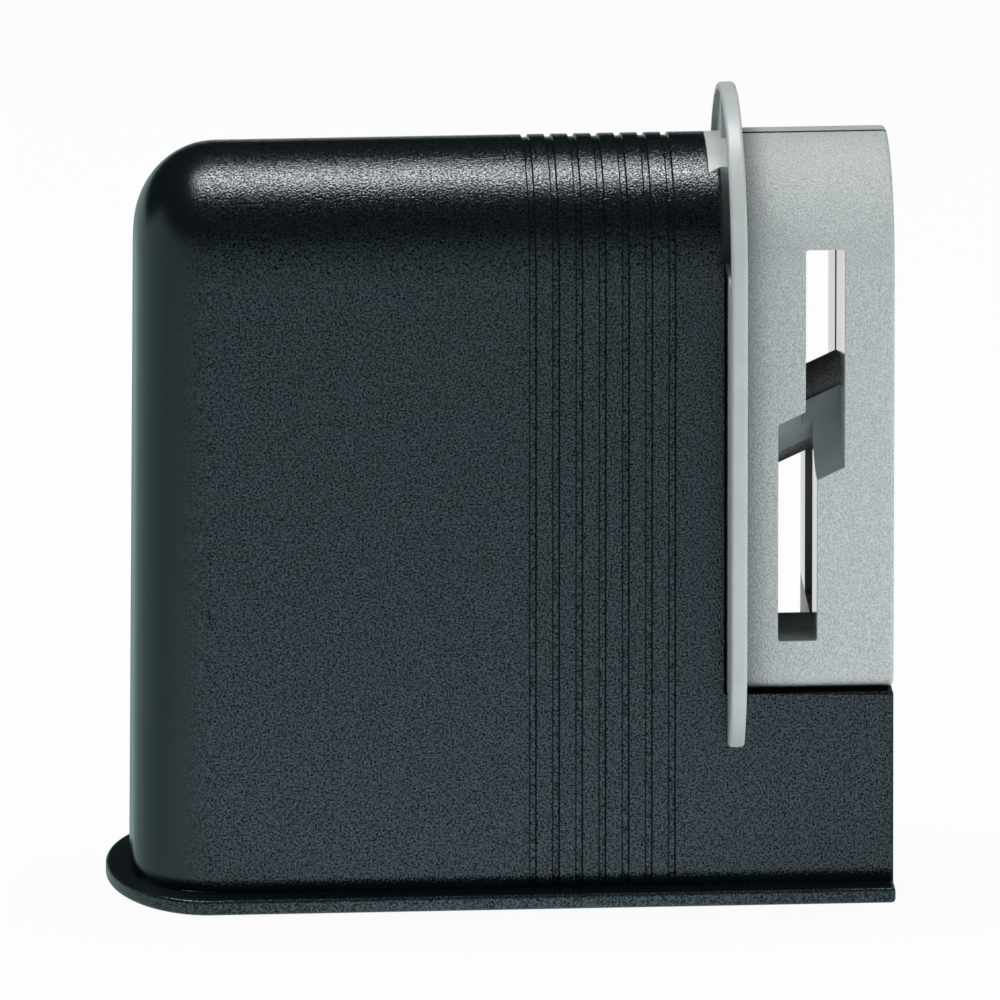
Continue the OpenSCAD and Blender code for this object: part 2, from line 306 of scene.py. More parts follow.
def blackPlastic(name, smoothEnd, tone=1.0):
    f = blackFinish
    material, nodes, links, shader, place = newMaterial(name)
    shader.inputs["Specular IOR Level"].default_value = f["shineLevel"]
    grain = noise(nodes, links, place, f["grainScale"], f["detail"], f["detailRough"])
    # The rounded end has next to no grain, and painted shade darkens and dulls the foot where it meets the
    # plate
    if smoothEnd:
        split = nodes.new("ShaderNodeSeparateXYZ")
        links.new(place, split.inputs["Vector"])
        share = spread(nodes, links, split.outputs["X"], f["smoothTo"], f["grainFrom"], f["smoothShare"], 1)
        weaken = nodes.new("ShaderNodeMath")
        weaken.operation = "MULTIPLY_ADD"
        links.new(spread(nodes, links, grain, 0, 1, -grainMiddle, grainMiddle), weaken.inputs[0])
        links.new(share, weaken.inputs[1])
        links.new(
            spread(nodes, links, split.outputs["Z"], f["footFrom"], f["footTo"], f["footPaintedShade"], grainMiddle),
            weaken.inputs[2])
        grain = weaken.outputs[0]
    dark, pale = (tuple(c * tone for c in f[key]) for key in ("dark", "light"))
    links.new(ramp(nodes, links, grain, *grainRange, dark, pale), shader.inputs["Base Color"])
    dull = tuple(c * f["dullShare"] for c in f["shine"])
    links.new(ramp(nodes, links, grain, *f["shineRange"], dull, f["shine"]), shader.inputs["Specular Tint"])
    setRoughness(nodes, links, shader, grain, f)
    bump(nodes, links, shader, grain, f["grainStrength"], f["grainDepth"])
    return material


greyFinish = {
    "middle": (0.478, 0.510, 0.503), "detail": 1.5, "detailRough": 0.55, "roughShares": (0.9, 1.15),
    "shadeSamples": 8,
    # The shade values paint occlusion shade into the base colour of the grained and polished greys
    "grained": {"roughness": 0.31, "scale": 5600, "depth": 0.00018, "strength": 0.9, "speckle": 0.26,
                "shadeReach": 0.0046, "shadeShare": 0.02, "shadeTo": 0.30, "openFrom": 0.90},
    "satin": {"roughness": 0.36, "scale": 300, "depth": 0.00004, "strength": 0.04, "speckle": 0.04},
    "polished": {"roughness": 0.10, "scale": 300, "depth": 0.00002, "strength": 0.02, "speckle": 0.03,
                 "shadeReach": 0.0060, "shadeShare": 0.24, "shadeTo": 0.14, "openFrom": 0.58},
}


def greyPlastic(kind):
    f, k = greyFinish, greyFinish[kind]
    material, nodes, links, shader, place = newMaterial("guide grey " + kind)
    grain = noise(nodes, links, place, k["scale"], f["detail"], f["detailRough"])
    dark, pale = (tuple(c * (1 + way * k["speckle"]) for c in f["middle"]) for way in (-1, 1))
    tone = ramp(nodes, links, grain, *grainRange, dark, pale)
    # Painted shade: ambient occlusion darkens the base colour in hollows, such as the slots and the block's
    # foot over the ledge
    if "shadeReach" in k:
        hidden, mix = nodes.new("ShaderNodeAmbientOcclusion"), nodes.new("ShaderNodeMix")
        hidden.samples = f["shadeSamples"]
        hidden.inputs["Distance"].default_value = k["shadeReach"]
        mix.data_type, mix.blend_type = "RGBA", "MULTIPLY"
        mix.inputs[0].default_value = 1
        shade = ramp(nodes, links, hidden.outputs["AO"], k["shadeTo"], k["openFrom"],
                     (k["shadeShare"],) * 3, (1, 1, 1))
        links.new(tone, mix.inputs[6])
        links.new(shade, mix.inputs[7])
        tone = mix.outputs[2]
    links.new(tone, shader.inputs["Base Color"])
    links.new(
        spread(nodes, links, grain, *grainRange, *(k["roughness"] * share for share in f["roughShares"])),
        shader.inputs["Roughness"])
    bump(nodes, links, shader, grain, k["strength"], k["depth"])
    return material


rodFinish = {
    "dark": (0.110, 0.097, 0.091), "light": (0.40, 0.36, 0.345), "toneRange": (0.35, 0.68),
    "roughness": 0.30, "smoother": -0.1, "rougher": 0.12, "shineLevel": 1.0, "metallic": 0.0,
    "scale": 3600, "detail": 4, "detailRough": 0.7, "strength": 0.6, "depth": 0.00005,
}
steelFinish = {
    "dark": (0.50, 0.51, 0.53), "light": (0.66, 0.67, 0.69), "toneRange": (0.3, 0.7),
    "roughness": 0.32, "smoother": -0.08, "rougher": 0.1, "shineLevel": 0.5, "metallic": 1.0,
    "scale": 1800, "detail": 3, "detailRough": 0.5, "strength": 0.1, "depth": 0.00002,
}
rubberFinish = {
    "dark": (0.045, 0.045, 0.048), "light": (0.075, 0.075, 0.078), "toneRange": (0.35, 0.7),
    "roughness": 0.78, "smoother": -0.06, "rougher": 0.1, "shineLevel": 0.5, "metallic": 0.0,
    "scale": 1400, "detail": 5, "detailRough": 0.65, "strength": 0.35, "depth": 0.00003,
}


# Ceramic, steel and rubber: one noise sets the tone, the roughness and the relief
def evenFinish(name, f):
    material, nodes, links, shader, place = newMaterial(name)
    shader.inputs["Metallic"].default_value = f["metallic"]
    shader.inputs["Specular IOR Level"].default_value = f["shineLevel"]
    grain = noise(nodes, links, place, f["scale"], f["detail"], f["detailRough"])
    links.new(ramp(nodes, links, grain, *f["toneRange"], f["dark"], f["light"]), shader.inputs["Base Color"])
    setRoughness(nodes, links, shader, grain, f)
    bump(nodes, links, shader, grain, f["strength"], f["depth"])
    return material


shellBlack = blackPlastic("body black", True)
plateBlack = blackPlastic("base black", False, blackFinish["plateTone"])
blockGrey, satinGrey, slotGrey = (greyPlastic(kind) for kind in ("grained", "satin", "polished"))
ceramic = evenFinish("rod ceramic", rodFinish)
steel = evenFinish("screw steel", steelFinish)
rubber = evenFinish("pad rubber", rubberFinish)
print("stage: materials")

# Camera and light, set first so that every render shows the photograph's view
view = {"azimuth": -3.67, "elevation": 16.7, "distance": 4.0, "frame": 0.106, "sensor": 36,
        "target": (0.00042, 0, 0.0410), "clip": (0.05, 60)}
turn, rise = radians(view["azimuth"]), radians(view["elevation"])
towards = Vector((sin(turn) * cos(rise), -cos(turn) * cos(rise), sin(rise)))
bpy.ops.object.camera_add(location=Vector(view["target"]) + towards * view["distance"])
camera = bpy.context.object
camera.rotation_mode = "QUATERNION"
camera.rotation_quaternion = (-towards).to_track_quat("-Z", "Y")
camera.data.sensor_width = view["sensor"]
camera.data.lens = view["sensor"] * view["distance"] / view["frame"]
camera.data.clip_start, camera.data.clip_end = view["clip"]
bpy.context.scene.camera = camera
bpy.context.scene.view_settings.view_transform = "Standard"

light = {
    "softbox": {"place": (-0.05, 0.080, 0.62), "size": (0.44, 0.17), "power": 3.3,
                "aim": (-0.05, 0.080, 0)},
    "left": {"place": (-1.02, -0.86, 0.42), "size": (0.5, 0.5), "power": 3.5, "aim": (0, 0, 0.04)},
    "right": {"place": (1.06, -0.86, 0.42), "size": (0.5, 0.5), "power": 3.9, "aim": (0, 0, 0.04)},
    "bounce": {"place": (0.15, -0.12, 0.010), "size": (0.16, 0.05), "power": 0.19,
               "aim": (0.03, -0.01, 0.025)},
    "sky": (0.006, 0.008, 0.009), "horizon": (0.40, 0.50, 0.56), "horizonTo": 0.28, "skyFrom": 0.44,
    "skyBehind": 1.2, "behindFrom": 0.35,
    "floor": (0.80, 0.81, 0.81), "floorSize": 24, "floorGap": 0.00002, "floorRoughness": 0.9,
    "floorShine": 0.1, "spotScale": 14, "spotDetail": 4, "spotRough": 0.5, "spotLift": 0.01, "seenGlow": 0.94,
    "nearGlow": (1.0, 1.18, 1.34), "farGlow": (0.52, 0.62, 0.71), "sideGlow": (0.36, 0.52, 0.50),
    "nearTo": 0.05, "farFrom": 0.25, "sideTo": 0.1, "frontFrom": 0.8,
    "stripX": 0.03, "stripHalf": 0.05, "stripFrom": 0.02,
}


# Only the softbox shows in the glossy plastic
def addLamp(name):
    letGo()
    spec = light[name]
    place = Vector(spec["place"])
    bpy.ops.object.light_add(type="AREA", location=place)
    lamp = bpy.context.object
    lamp.name = name
    lamp.rotation_mode = "QUATERNION"
    lamp.rotation_quaternion = (Vector(spec["aim"]) - place).to_track_quat("-Z", "Y")
    lamp.data.shape = "RECTANGLE"
    lamp.data.size, lamp.data.size_y = spec["size"]
    lamp.data.energy = spec["power"]
    lamp.visible_glossy = name == "softbox"


for name in ("softbox", "left", "right", "bounce"):
    addLamp(name)


# These three add to the node tree that nodes and links belong to at the time
def mathNode(how, first, second=0.0, clamped=False):
    node = nodes.new("ShaderNodeMath")
    node.operation = how
    node.use_clamp = clamped
    for socket, value in zip(node.inputs, (first, second)):
        if isinstance(value, (int, float)):
            socket.default_value = value
        else:
            links.new(value, socket)
    return node.outputs[0]


def glowing(colour):
    node = nodes.new("ShaderNodeEmission")
    if isinstance(colour, tuple):
        node.inputs["Color"].default_value = (*colour, 1)
    else:
        links.new(colour, node.inputs["Color"])
    return node.outputs[0]


def mixed(share, first, second):
    node = nodes.new("ShaderNodeMixShader")
    for socket, value in zip(node.inputs, (share, first, second)):
        links.new(value, socket)
    return node.outputs[0]


world = bpy.data.worlds.new("studio")
world.use_nodes = True
nodes, links = world.node_tree.nodes, world.node_tree.links
split = nodes.new("ShaderNodeSeparateXYZ")
links.new(nodes.new("ShaderNodeTexCoord").outputs["Generated"], split.inputs["Vector"])
behind = mathNode("SUBTRACT", split.outputs["Y"], light["behindFrom"])
behind = mathNode("MULTIPLY", mathNode("MAXIMUM", behind), light["skyBehind"])
links.new(
    ramp(nodes, links, mathNode("ADD", split.outputs["Z"], behind), light["horizonTo"], light["skyFrom"],
         light["horizon"], light["sky"]), nodes["Background"].inputs["Color"])
backdrop = nodes.new("ShaderNodeBackground")
backdrop.inputs["Color"].default_value = (1, 1, 1, 1)
links.new(
    mixed(nodes.new("ShaderNodeLightPath").outputs["Is Camera Ray"], nodes["Background"].outputs[0],
          backdrop.outputs[0]), nodes["World Output"].inputs["Surface"])
bpy.context.scene.world = world

letGo()
bpy.ops.mesh.primitive_plane_add(size=light["floorSize"], location=(0, 0, -light["floorGap"]))
floor = bpy.context.object
floor.name = "floor"
floorPaint, nodes, links, shader, place = newMaterial("pale floor")
shader.inputs["Roughness"].default_value = light["floorRoughness"]
shader.inputs["Specular IOR Level"].default_value = light["floorShine"]
spots = noise(nodes, links, place, light["spotScale"], light["spotDetail"], light["spotRough"])
paler = tuple(c + light["spotLift"] for c in light["floor"])
links.new(ramp(nodes, links, spots, *grainRange, light["floor"], paler), shader.inputs["Base Color"])
# Seen directly, the floor is lifted to white and keeps the shadow; mirrored, it fades away from the object,
# but for a white strip behind the guide head
white = (1, 1, 1)
path = nodes.new("ShaderNodeLightPath")
split = nodes.new("ShaderNodeSeparateXYZ")
links.new(place, split.inputs["Vector"])
away = nodes.new("ShaderNodeVectorMath")
away.operation = "LENGTH"
links.new(place, away.inputs[0])
fade = ramp(nodes, links, away.outputs["Value"], light["nearTo"], light["farFrom"],
            light["nearGlow"], light["farGlow"])
facing = mathNode("DIVIDE", mathNode("MULTIPLY", split.outputs["Y"], -1), away.outputs["Value"])
front = spread(nodes, links, facing, light["sideTo"], light["frontFrom"], 0, 1)
aside = mathNode("ABSOLUTE", mathNode("SUBTRACT", split.outputs["X"], light["stripX"]))
strip = mathNode("MULTIPLY", mathNode("LESS_THAN", aside, light["stripHalf"]),
                 mathNode("GREATER_THAN", split.outputs["Y"], light["stripFrom"]))
mirrored = mathNode("ADD", path.outputs["Is Glossy Ray"], path.outputs["Is Transmission Ray"], True)
seen = mixed(mathNode("MULTIPLY", path.outputs["Is Camera Ray"], light["seenGlow"]),
             shader.outputs[0], glowing(white))
glow = mixed(strip, mixed(front, glowing(light["sideGlow"]), glowing(fade)), glowing(white))
# From below the floor is clear, so that the underside can be seen
links.new(
    mixed(nodes.new("ShaderNodeNewGeometry").outputs["Backfacing"], mixed(mirrored, seen, glow),
          nodes.new("ShaderNodeBsdfTransparent").outputs[0]), nodes["Material Output"].inputs["Surface"])
floor.data.materials.append(floorPaint)
print("stage: camera and light")

# Body shell
shell = {
    "endRadius": 9.3, "wall": 2.0, "crownSteps": 96, "endSteps": 28,
    "grooveCount": 7, "grooveStart": 42.0, "groovePitch": 2.46, "grooveWidth": 0.75,
    "grooveDepth": 0.3, "grooveRound": 0.05, "grooveSlant": 0.17, "grooveToe": 0.03, "grooveToeRise": 0.04,
    "bayX": bodyRight - 18.05, "ledgeZ": 22.7, "edge": 0.4,
    "tongueBack": 1.42, "tongueWide": 7.02, "tongueUndercut": 0.7, "tongueFoot": 25.58,
    "bossRadius": 3.0, "bossHeight": 13.0, "bossGap": 0.1, "bossInWall": 0.3, "pilotRadius": 1.15,
    "pilotDepth": 8.8, "screwFromLeft": 15, "screwFromRight": 18,
    "endLean": 0.55, "lipHeight": 0.16, "lipRise": 0.05, "lipOut": 0.08,
}
plugTop = plateHigh.z
screwY = halfDepth - shell["wall"] - shell["bossRadius"] + shell["bossInWall"]
screwPlaces = [(x, y) for x in (bodyLeft + shell["screwFromLeft"], bodyRight - shell["screwFromRight"])
               for y in (-screwY, screwY)]


# Half of the body's plan, from its rounded end along the front; each groove has slanted walls
def planLine(inset, grooved):
    s = shell
    radius, left, side = s["endRadius"] - inset, bodyLeft + inset, halfDepth - inset
    line = [(left, 0)] + turnedArc((left + radius, radius - side), radius, 180, 270, s["endSteps"])
    if grooved:
        r, depth = s["grooveRound"], s["grooveDepth"]
        for i in range(s["grooveCount"]):
            middle = bodyLeft + s["grooveStart"] + i * s["groovePitch"]
            for way in (-1, 1):
                wall = middle + way * s["grooveWidth"] / 2
                foot = wall + way * (r - s["grooveSlant"])
                bend = [(wall + way * r, -side), (wall + way * r / 2, -side + r / 2),
                        (foot + way * s["grooveToe"], -side + depth - s["grooveToeRise"]),
                        (foot, -side + depth)]
                line += bend if way < 0 else bend[::-1]
    return line + [(bodyRight - inset, -side)]


# The plan turned over the crown and pulled down to the foot
def bodyForm(name, inset, foot, grooved):
    piece = drawLine(name, [(x, y, crownZ) for x, y in planLine(inset, grooved)])
    bpy.ops.mesh.select_all(action="SELECT")
    bpy.ops.mesh.spin(steps=shell["crownSteps"], angle=pi, center=(0, 0, crownZ), axis=(1, 0, 0))
    bpy.ops.mesh.select_all(action="SELECT")
    bpy.ops.mesh.remove_doubles(threshold=mergeWithin)
    pick("EDGE", lambda edge: openEdge(edge) and all(near(v.co.z, crownZ) for v in edge.verts))
    lip = shell["lipHeight"] if grooved else 0
    bpy.ops.mesh.extrude_region_move(TRANSFORM_OT_translate={"value": (0, 0, foot + lip - crownZ)})
    # A thin moulding edge runs along the foot
    if lip:
        bpy.ops.mesh.extrude_region_move(TRANSFORM_OT_translate={"value": (0, 0, -shell["lipRise"])})
        bpy.ops.transform.resize(value=(1, 1 + shell["lipOut"] / halfDepth, 1), center_override=(0, 0, 0))
        bpy.ops.mesh.extrude_region_move(TRANSFORM_OT_translate={"value": (0, 0, shell["lipRise"] - lip)})
    endX = bodyRight - inset
    pick("VERT", lambda v: near(v.co.x, endX) and near(v.co.z, foot))
    bpy.ops.mesh.edge_face_add()
    pick("EDGE", lambda edge: len(edge.link_faces) < 2 and all(near(v.co.x, endX) for v in edge.verts))
    bpy.ops.mesh.edge_face_add()
    pick("EDGE", lambda edge: len(edge.link_faces) < 2 and all(near(v.co.z, foot) for v in edge.verts))
    bpy.ops.mesh.edge_face_add()
    leanEnd()
    tidyNormals()
    return piece


# The rounded end leans in towards the crown, as a moulding does
def leanEnd():
    mesh = bmesh.from_edit_mesh(bpy.context.object.data)
    bend = bodyLeft + shell["endRadius"]
    for v in mesh.verts:
        if v.co.z > crownZ - skinSlack and v.co.x < bend:
            v.co.x += shell["endLean"] * (bend - v.co.x) / shell["endRadius"]
    bmesh.update_edit_mesh(bpy.context.object.data)


def onBodySkin(place):
    if place.z > crownZ:
        return near(hypot(place.y, place.z - crownZ), halfDepth, skinSlack)
    return near(abs(place.y), halfDepth, skinSlack)


def makeShell():
    s = shell
    piece = bodyForm("bodyShell", 0, baseTop, True)
    hollow = bodyForm("hollow", s["wall"], -over, False)
    endWall = s["bayX"] - s["tongueBack"] - s["wall"]
    combine(hollow, boxTool((endWall, -far, s["ledgeZ"] - s["wall"]), (far * 2, far, far * 2)))
    combine(piece, hollow)
    bossLow = plugTop + s["bossGap"]
    combine(piece, roundTools(screwPlaces, s["bossRadius"], bossLow, bossLow + s["bossHeight"]), "UNION")
    combine(piece, roundTools(screwPlaces, s["pilotRadius"], plugTop, plugTop + s["pilotDepth"]))
    combine(piece, boxTool((s["bayX"], -far, s["ledgeZ"]), (far * 2, far, far * 2)))
    wide, back = s["tongueWide"], s["bayX"] - s["tongueBack"]
    narrow = wide - s["tongueUndercut"]
    slide = [(back, -wide), (s["bayX"], -narrow), (s["bayX"] + over, -narrow),
             (s["bayX"] + over, narrow), (s["bayX"], narrow), (back, wide)]
    combine(piece, drawSolid("slide", [(x, y, s["tongueFoot"]) for x, y in slide], (0, 0, far * 2)))
    edit(piece)
    roundEdges(
        lambda edge: isSharp(edge) and (
            endsPass(lambda v: near(v.x, s["bayX"]) and onBodySkin(v) and v.z > s["ledgeZ"])(edge)
            or endsPass(lambda v: near(v.z, s["ledgeZ"]) and (
                near(abs(v.y), halfDepth) or near(v.x, bodyRight)))(edge)
            or endsPass(lambda v: near(v.x, bodyRight) and near(abs(v.y), halfDepth))(edge)),
        s["edge"], edgeSegments)
    finishPiece(piece, "body", ["body_shell"], [shellBlack])


makeShell()

# Base plate
plate = {"oval": 10.5, "ovalSteps": 60, "edge": 0.45, "plugInset": 2.15, "plugWall": 1.5, "plugRoot": 0.5,
         "coreTall": 5, "boundTall": 6,
         "headRadius": 2.5, "headTop": 1.7, "shankRadius": 1.45, "collarRadius": 3.8,
         "padRadius": 4.55, "padDepth": 0.8, "padFromEnd": 9.5, "padFromSide": 4.2}
padPlaces = [(x * (plateHigh.x - plate["padFromEnd"]), y * (halfDepth - plate["padFromSide"]))
             for x in (-1, 1) for y in (-1, 1)]


def wholePlan(inset):
    front = planLine(inset, False)
    return front + [(x, -y) for x, y in front[:0:-1]]


def makePlate():
    p = plate
    middle = plateLow.x + p["oval"]
    outline = [(middle + p["oval"] * cos(a), plateHigh.y * sin(a))
               for a in (pi / 2 + pi * i / p["ovalSteps"] for i in range(p["ovalSteps"] + 1))]
    outline += [(plateHigh.x, plateLow.y), (plateHigh.x, plateHigh.y)]
    piece = drawSolid("basePlate", [(x, y, 0) for x, y in outline], (0, 0, baseTop))
    roundEdges(lambda edge: isSharp(edge) and (
        endsPass(lambda v: near(v.z, baseTop))(edge) or endsPass(lambda v: near(v.z, 0))(edge)
        or endsPass(lambda v: near(v.x, plateHigh.x))(edge)), p["edge"], edgeSegments)
    root = baseTop - p["plugRoot"]
    rim = drawSolid("rim", [(x, y, root) for x, y in wholePlan(p["plugInset"])],
                    (0, 0, plugTop - baseTop + p["plugRoot"]))
    core = drawSolid("core", [(x, y, baseTop - over) for x, y in wholePlan(p["plugInset"] + p["plugWall"])],
                     (0, 0, p["coreTall"]))
    combine(rim, core)
    collars = roundTools(screwPlaces, p["collarRadius"], root, plugTop)
    bound = drawSolid("bound", [(x, y, 0) for x, y in wholePlan(p["plugInset"])], (0, 0, p["boundTall"]))
    combine(collars, bound, "INTERSECT")
    combine(rim, collars, "UNION")
    combine(piece, rim, "UNION")
    combine(piece, roundTools(screwPlaces, p["headRadius"], -over, p["headTop"]))
    combine(piece, roundTools(screwPlaces, p["shankRadius"], -over, plugTop + over))
    combine(piece, roundTools(padPlaces, p["padRadius"], -over, p["padDepth"]))
    finishPiece(piece, "body", ["base_plate"], [plateBlack])


makePlate()

# Pads: a flat disc with three turned rings on its underside
pad = {"radius": 4.5, "thickness": 0.8, "edge": 0.2, "rings": (1.2, 2.2, 3.2), "ringWidth": 0.35,
       "ringDepth": 0.2, "ringSlant": 0.06, "edgeSteps": 4, "turnSteps": 64}


def makePads():
    p = pad
    line = [(0, 0)]
    for ring in p["rings"]:
        end = ring + p["ringWidth"]
        line += [(ring, 0), (ring + p["ringSlant"], p["ringDepth"]), (end - p["ringSlant"], p["ringDepth"]),
                 (end, 0)]
    line += turnedArc((p["radius"] - p["edge"], p["edge"]), p["edge"], 270, 360, p["edgeSteps"])
    line += [(p["radius"], p["thickness"]), (0, p["thickness"])]
    first = turnLine("basePads", [(r, 0, z) for r, z in line], (0, 0, 0), (0, 0, 1), p["turnSteps"])
    placeCopies(first, [(x, y, 0) for x, y in padPlaces])
    finishPiece(first, "body", ["base_pads"], [rubber])


# Moves a piece to its first place, copies it to the others and joins them
def placeCopies(first, places):
    made = [first] + [copyOf(first, "copy") for _ in places[1:]]
    for item, place in zip(made, places):
        hold(item)
        bpy.ops.transform.translate(value=place)
        bpy.ops.object.transform_apply(location=True, rotation=False, scale=False)
    letGo()
    for item in made:
        item.select_set(True)
    bpy.context.view_layer.objects.active = first
    bpy.ops.object.join()


makePads()

# Screws: turned with a domed head and ridges for the thread, then a cross recess
screws = {
    "base": {"head": 2.3, "headHeight": 1.5, "shank": 1.25, "length": 10.0, "pitch": 0.9, "sunk": 0.2},
    "guide": {"head": 2.0, "headHeight": 1.4, "shank": 1.1, "length": 13.0, "pitch": 0.8},
    "crossWidth": 0.6, "crossDepth": 0.8, "headEdge": 0.35, "threadDepth": 0.2, "tip": 1.6,
    "crossShare": 2 / 3, "edgeSteps": 5, "plain": 1.0, "tipRadius": 0.12, "turnSteps": 40,
    "flankEnd": 0.3, "rootEnd": 0.5, "crest": 0.85,
}


# Drawn with its head at the bottom and its tip upwards
def screwSolid(name, spec):
    line = [(0, 0)] + turnedArc(
        (spec["head"] - screws["headEdge"], screws["headEdge"]), screws["headEdge"], 270, 360,
        screws["edgeSteps"])
    line += [(spec["head"], spec["headHeight"]), (spec["shank"], spec["headHeight"])]
    root, pitch = spec["shank"] - screws["threadDepth"], spec["pitch"]
    z, top = spec["headHeight"] + screws["plain"], spec["headHeight"] + spec["length"] - screws["tip"]
    while z + pitch < top:
        line += [(root, z + pitch * screws["flankEnd"]), (root, z + pitch * screws["rootEnd"]),
                 (spec["shank"], z + pitch * screws["crest"])]
        z += pitch
    line += [(root, top), (screws["tipRadius"], top + screws["tip"]), (0, top + screws["tip"])]
    piece = turnLine(name, [(r, 0, height) for r, height in line], (0, 0, 0), (0, 0, 1), screws["turnSteps"])
    arm, half, deep = spec["head"] * screws["crossShare"], screws["crossWidth"] / 2, screws["crossDepth"]
    cross = boxTool((-arm, -half, -over), (arm, half, deep))
    combine(cross, boxTool((-half, -arm, -over), (half, arm, deep)), "UNION")
    combine(piece, cross)
    return piece


def makeBaseScrews():
    first = screwSolid("baseScrews", screws["base"])
    placeCopies(first, [(x, y, screws["base"]["sunk"]) for x, y in screwPlaces])
    finishPiece(first, "body", ["base_screws"], [steel])


makeBaseScrews()

# Guide head: guard, tongue and block in one, then the slots, then the two halves
head = {
    "guardX": shell["bayX"] + 0.4, "guardThick": 1.75, "guardRadius": -headLow.y, "guardEdge": 0.38,
    "legFoot": headLow.z, "legRadius": 14.0, "legTip": 0.5, "passage": halfDepth + 0.25,
    "rim": 0.8, "hollow": 0.6, "rib": 1.6,
    "blockFoot": 22.8, "blockCrown": crownZ + 0.3, "blockEdge": 2.1, "endEdge": 0.5, "blockRoot": 0.5,
    "tongueBack": 1.3, "tongueWide": 6.9, "tongueUndercut": 0.7, "tongueFoot": 25.7, "roofCorner": 0.1,
    "skinFrom": 0.3, "skinTo": 0.7, "faceSlack": 0.05, "faceTurn": 0.9, "faceDepth": 0.15, "wallSlack": 0.1,
    "archSteps": 96, "footSteps": 8, "legSteps": 24, "slotEdge": 0.16,
    "seamEdge": 0.1, "seamFrom": 0.3, "seamWide": 0.5, "seamBack": 0.05, "seamDeep": 0.3,
    "pinRadius": 0.9, "pinLength": 2.5, "pinSeat": 0.94, "pinSeatDepth": 3.1, "pinFromEnd": 1.8,
    "pilotRadius": 1.0, "pilotReach": 13.6, "shankRadius": 1.3, "screwHeadRadius": 2.2,
    "screwRise": 14.3, "screwSunk": 3.5,
}
blockX = head["guardX"] + head["guardThick"]
blockTop = head["blockCrown"] + halfDepth
slot = {
    "x": bodyRight - 8.8, "z": 49.95, "width": 4.1, "step": 2.9, "height": 42.9, "gap": 8.0,
    "floorDepth": 10.4, "windowDepth": 2.5, "windowWidth": 11.0, "windowDrop": 2.6,
    "jointDepth": 1.4, "jointWidth": 2.2, "corner": 0.22, "cornerSegments": 3,
    "rodRise": 0.65, "rodRadius": 4.15, "rodLength": 12.2, "rodTilt": 25.0, "rodPlay": 0.05,
    "rodEndGap": 0.1, "rodEdge": 0.25, "rodSmooth": 15, "rodRidges": 96, "ridgeDepth": 0.06,
    "rodEdgeSteps": 5, "seatSteps": 96,
    "lipAngle": 28.0, "lipThick": 0.8, "lipLean": 7.5, "sweepSteps": 24,
}
upperLeft = slot["x"] + slot["step"] / 2 - slot["width"] / 2
lowerLeft = slot["x"] - slot["step"] / 2 - slot["width"] / 2
slotTop, slotBottom = slot["z"] + slot["height"] / 2, slot["z"] - slot["height"] / 2
rodZ = slot["z"] + slot["rodRise"]
lean = radians(slot["rodTilt"])
rodAxis, rodAcross = Vector((cos(lean), 0, sin(lean))), Vector((-sin(lean), 0, cos(lean)))
rodMiddle = Vector((slot["x"], 0, rodZ))
highRow, lowRow = slot["z"] + head["screwRise"], slot["z"] - head["screwRise"]
headScrews = [((blockX + upperLeft) / 2, highRow),
              ((lowerLeft + slot["width"] + slot["windowDepth"] + bodyRight) / 2, lowRow)]
headPins = [((blockX + lowerLeft) / 2, lowRow), (bodyRight - head["pinFromEnd"], highRow)]
screwSeat = halfDepth - head["screwSunk"]


# Upright arch with rounded feet, as points from front to back
def archPoints(radius, crown, foot, corner, steps):
    front = turnedArc((corner - radius, foot + corner), corner, 270, 180, head["footSteps"])
    top = turnedArc((0, crown), radius, 180, 0, steps)
    return front + top + [(-y, z) for y, z in front[::-1]]


# Guard seen along the body; each leg narrows in a long curve, to its foot or to a point
def guardPoints(inset):
    h = head
    taper = h["guardRadius"] - h["passage"] - h["legTip"]
    curveZ = h["legFoot"] + sqrt(taper * (2 * h["legRadius"] - taper))
    radius, curve, passage = h["guardRadius"] - inset, h["legRadius"] - inset, h["passage"] + inset
    middle = radius - curve
    drop = min(curveZ - h["legFoot"] - inset, sqrt(curve ** 2 - (passage - middle) ** 2))
    start = degrees(asin(drop / curve))
    side = [(-passage, h["blockFoot"] + inset), (-passage, curveZ - drop)]
    bend = turnedArc((-middle, curveZ), curve, 180 + start, 180, h["legSteps"])
    side += bend if -passage - bend[0][0] > skinSlack else bend[1:]
    return side + turnedArc((0, crownZ), radius, 180, 0, h["archSteps"]) + [(-y, z) for y, z in side[::-1]]


# Guard with its shallow hollow over the crown, and the tongue that slides in the body
def makeGuard():
    h = head
    piece = drawSolid("guideHead", [(h["guardX"], y, z) for y, z in guardPoints(0)],
                      (h["guardThick"], 0, 0))
    roundEdges(lambda edge: isSharp(edge, steep) and (
        endsPass(lambda v: near(v.x, h["guardX"]))(edge) or endsPass(lambda v: near(v.x, blockX))(edge)
    ) and not endsPass(lambda v: (
        abs(v.y) < h["passage"] + skinSlack and v.z < h["blockFoot"] + skinSlack))(edge),
        h["guardEdge"], edgeSegments)
    cut = drawSolid("hollow", [(h["guardX"] - over, y, z) for y, z in guardPoints(h["rim"])],
                    (h["hollow"] + over, 0, 0))
    combine(cut, boxTool((0, -h["rib"] / 2, 0), (far, h["rib"] / 2, far * 2)))
    combine(cut, boxTool((0, -far, 0), (far, far, crownZ)))
    combine(piece, cut)
    back, wide = shell["bayX"] - h["tongueBack"], h["tongueWide"]
    narrow, root = wide - h["tongueUndercut"], h["guardX"] + h["hollow"] + h["guardThick"] / 4
    slide = [(back, -wide), (shell["bayX"], -narrow), (root, -narrow), (root, narrow),
             (shell["bayX"], narrow), (back, wide)]
    tongue = drawSolid("tongue", [(x, y, h["tongueFoot"]) for x, y in slide], (0, 0, far * 2))
    arch = archPoints(halfDepth, crownZ, 0, h["roofCorner"], h["archSteps"])
    roof = drawSolid("roof", [(0, y, z) for y, z in arch], (far, 0, 0))
    combine(tongue, roof, "INTERSECT")
    combine(piece, tongue, "UNION")
    return piece


